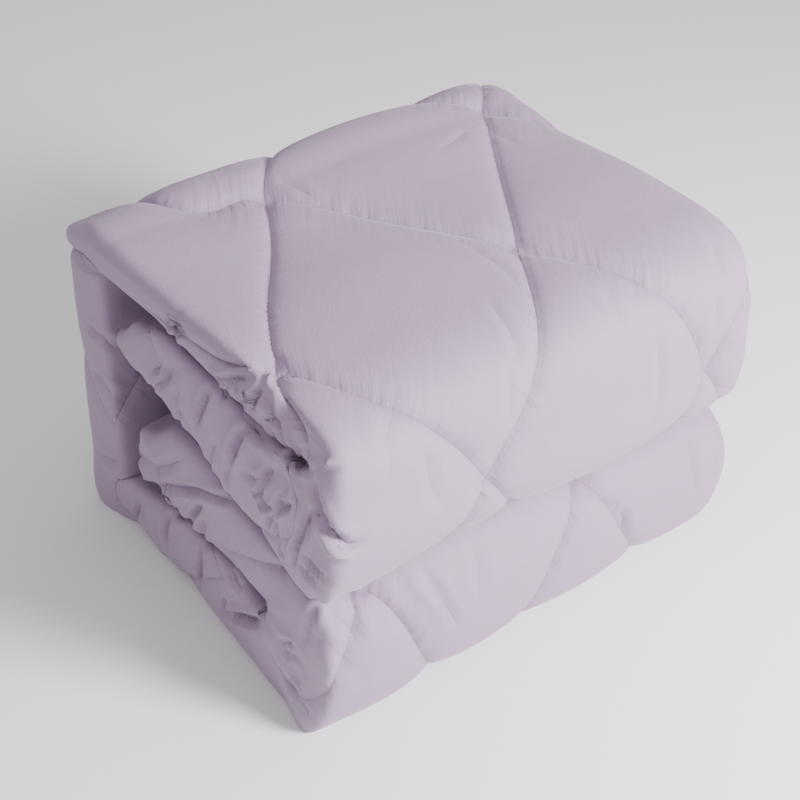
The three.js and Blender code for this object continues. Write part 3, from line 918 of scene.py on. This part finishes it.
# %% Cotton
COTTON_COLOUR = (0.33, 0.235, 0.35, 1)
# a little darker than the cotton: the thread line, with painted shade of the seam groove on it
SEAM_THREAD_AND_GROOVE_SHADE = (0.30, 0.21, 0.32, 1)
COTTON_FINISH = {
    "Roughness": 0.7,
    "Sheen Weight": 0.3,
    "Sheen Roughness": 0.35,
    "Sheen Tint": (0.85, 0.7, 0.9, 1),
}
MIX_COLOURS = (6, 7)       # the sockets in which a mix node takes its two colours
GRAIN = {"Scale": 420.0, "Detail": 3.0}
UNEVENNESS = {"Scale": 28.0, "Detail": 2.0}
CREASE_CORE = 1.6          # millimetres, half width of a crease's sharp middle
CREASE_HEIGHT = 0.0003     # metres for each millimetre of a crease's depth
GATHER_HEIGHT = 0.0042     # metres, as are the two below
THREAD_HEIGHT = 0.0009
SURFACE_HEIGHT = 0.0004

cotton = bpy.data.materials.new("mauve_cotton")
cotton.use_nodes = True
tree = cotton.node_tree
shader = tree.nodes["Principled BSDF"]
for socket, value in COTTON_FINISH.items():
    shader.inputs[socket].default_value = value
place = tree.nodes.new("ShaderNodeTexCoord")
seams = tree.nodes.new("ShaderNodeGroup")
seams.node_tree = seam_finish
tree.links.new(place.outputs["UV"], seams.inputs["Count"])
mix = node(tree, "ShaderNodeMix")
mix.data_type = "RGBA"
# the line mask lays the darker colour along every seam, as painted shade of the seam groove
tree.links.new(seams.outputs["Line"], mix.inputs["Factor"])
for socket, colour in zip(MIX_COLOURS, (COTTON_COLOUR, SEAM_THREAD_AND_GROOVE_SHADE)):
    mix.inputs[socket].default_value = colour
tree.links.new(mix.outputs[2], shader.inputs["Base Color"])
grain = node(tree, "ShaderNodeTexNoise", Vector=place.outputs["Object"], **GRAIN)
soft = node(tree, "ShaderNodeTexNoise", Vector=place.outputs["Object"], **UNEVENNESS)
height = math_node(tree, "MULTIPLY", seams.outputs["Height"], GATHER_HEIGHT)
groove = math_node(tree, "MULTIPLY", seams.outputs["Line"], -THREAD_HEIGHT)
surface = math_node(tree, "MULTIPLY", grain.outputs[0], SURFACE_HEIGHT)
drift = math_node(tree, "MULTIPLY", soft.outputs[0], 2 * SURFACE_HEIGHT)
side = node(tree, "ShaderNodeAttribute")
side.attribute_name = "crease_side"
deep = node(tree, "ShaderNodeAttribute")
deep.attribute_name = "crease_deep"
core = math_node(tree, "DIVIDE", math_node(tree, "ABSOLUTE", side.outputs["Fac"]), -CREASE_CORE)
core = math_node(tree, "MULTIPLY", math_node(tree, "EXPONENT", core), deep.outputs["Fac"])
core = math_node(tree, "MULTIPLY", core, -CREASE_HEIGHT)
total = math_node(tree, "ADD", math_node(tree, "ADD", height, groove),
                  math_node(tree, "ADD", surface, drift))
total = math_node(tree, "ADD", total, core)
bump = node(tree, "ShaderNodeBump", Height=total, Distance=1.0, Strength=1.0)
tree.links.new(bump.outputs[0], shader.inputs["Normal"])
mesh.materials.append(cotton)
print("cotton has", len(tree.nodes), "nodes")

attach(cloth, "root")
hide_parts("quilt")

# %% [markdown]
# ## The floor and the light
# The quilt stands on a pale matt floor in an even, bright room. A strong soft light in front and
# to the right shapes the folds, and weak ones above and at the left keep their shadows open. One
# picture of a bright sky could light it too, but then single shadows can't be steered.

# %% Set up the floor
FLOOR_SIZE = 12            # metres
FLOOR_COLOUR = (0.9, 0.9, 0.9, 1)
FLOOR_ROUGHNESS = 0.9

bpy.ops.object.select_all(action="DESELECT")
bpy.ops.mesh.primitive_plane_add(size=FLOOR_SIZE, location=(0, 0, 0))
floor = bpy.context.object
floor.name = "studio_floor"
pale = bpy.data.materials.new("pale_floor")
pale.use_nodes = True
floor_shader = pale.node_tree.nodes["Principled BSDF"]
floor_shader.inputs["Base Color"].default_value = FLOOR_COLOUR
floor_shader.inputs["Roughness"].default_value = FLOOR_ROUGHNESS
floor.data.materials.append(pale)
print("the floor is", FLOOR_SIZE, "metres wide")

# %% Set up the lights
LIGHT_TARGET = (0, 0, 0.2)
LIGHTS = {                 # name: place and size in metres, power in watts
    "key_front_right": ((0.7, -1.75, 1.3), 0.7, 122),
    "fill_above": ((0.2, 0.0, 2.4), 1.6, 14),
    "fill_left": ((-2.2, -0.9, 0.9), 1.2, 7),
}
ROOM_COLOUR = (1, 1, 1, 1)
ROOM_STRENGTH = 0.56


def soft_light(name, place, size, power):
    """A round soft lamp that looks at the quilt."""
    data = bpy.data.lights.new(name, "AREA")
    data.shape = "DISK"
    data.size = size
    data.energy = power
    lamp = bpy.data.objects.new(name, data)
    lamp.location = place
    way = Vector(LIGHT_TARGET) - Vector(place)
    lamp.rotation_euler = way.to_track_quat("-Z", "Y").to_euler()
    bpy.context.scene.collection.objects.link(lamp)


for name, (place, size, power) in LIGHTS.items():
    soft_light(name, place, size, power)
world = bpy.context.scene.world or bpy.data.worlds.new("studio")
bpy.context.scene.world = world
world.use_nodes = True
room = world.node_tree.nodes["Background"]
room.inputs["Color"].default_value = ROOM_COLOUR
room.inputs["Strength"].default_value = ROOM_STRENGTH
print(len(LIGHTS), "lamps of", sum(power for _, _, power in LIGHTS.values()), "watts together")
